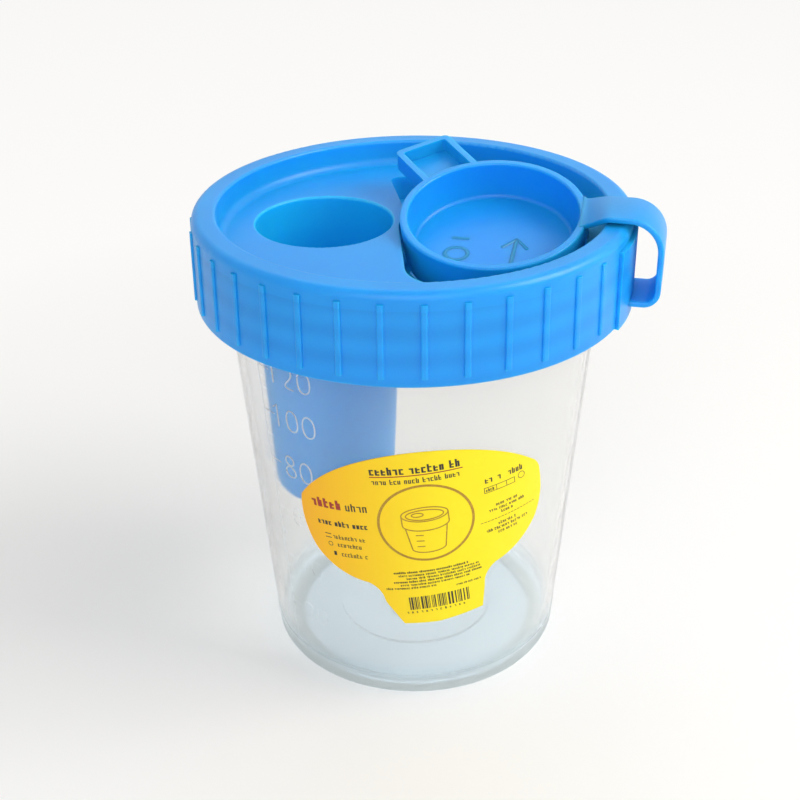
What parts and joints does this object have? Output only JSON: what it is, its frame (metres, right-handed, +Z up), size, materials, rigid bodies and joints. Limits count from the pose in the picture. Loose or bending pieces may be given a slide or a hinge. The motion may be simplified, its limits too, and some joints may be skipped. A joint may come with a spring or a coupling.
{
  "type": "specimen container",
  "caption": "Specimen cup with a ribbed screw lid, a sampling well for vacuum tubes and a tethered cap over a port.",
  "frame": {"origin": "centre of the cup's underside, on the table, on the cup's axis", "axes": "+Z up along the cup's axis; +X from the sampling well towards the port, its cap and the tether; the pull tab points to the back, at +Y and -X"},
  "size_m": [0.0737, 0.0692, 0.0827],
  "materials": {
    "cup_plastic": "translucent natural polypropylene",
    "lid_plastic": "moulded, soft gloss",
    "label_paper": "coated, semi-gloss",
    "needle_steel": "drawn stainless steel",
    "sleeve_rubber": "matte latex-free rubber"
  },
  "bodies": {
    "cup": {"cup": "cup_plastic", "label": "label_paper"},
    "lid": {"lid": "lid_plastic", "needle": "needle_steel", "needle_sleeve": "sleeve_rubber", "tether_leg": "lid_plastic"},
    "cap": {"cap": "lid_plastic", "tether_arm": "lid_plastic"}
  },
  "joints": [
    {"name": "lid_lift", "type": "slide", "parent": "cup", "child": "lid", "axis": [0, 0, 1], "range_m": [0, 0.06]},
    {"name": "cap_swing", "type": "hinge", "parent": "lid", "child": "cap", "pos_m": [0.03349, 0, 0.07925], "axis": [0, 1, 0], "range_deg": [0, 120]}
  ]
}
